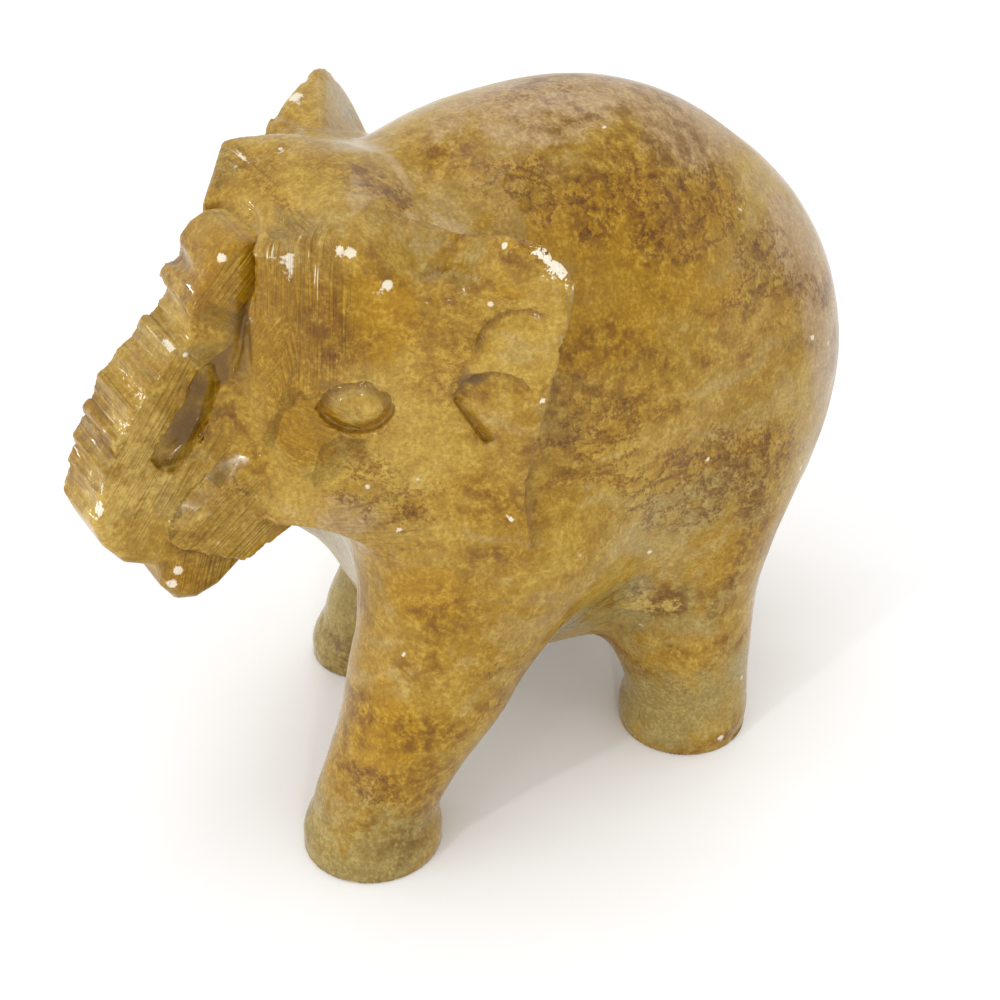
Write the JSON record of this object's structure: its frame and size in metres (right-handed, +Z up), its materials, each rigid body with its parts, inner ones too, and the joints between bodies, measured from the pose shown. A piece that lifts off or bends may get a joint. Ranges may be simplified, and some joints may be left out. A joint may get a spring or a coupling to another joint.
{
  "type": "carved stone elephant figurine",
  "caption": "Small standing elephant carved from golden-brown stone, with a wedge-shaped head, squared ears and a trunk raised and curled back to the forehead.",
  "frame": {"origin": "on the floor under the middle of the bounding box", "axes": "+Z up from the soles, -Y the way the elephant faces, +X its own left side"},
  "size_m": [0.0456, 0.086, 0.072],
  "materials": {
    "golden_brown_stone": "hand polished and waxed, with file marks on the head and pale dust in the cuts"
  },
  "bodies": {
    "root": {"elephant": "golden_brown_stone"}
  },
  "joints": []
}
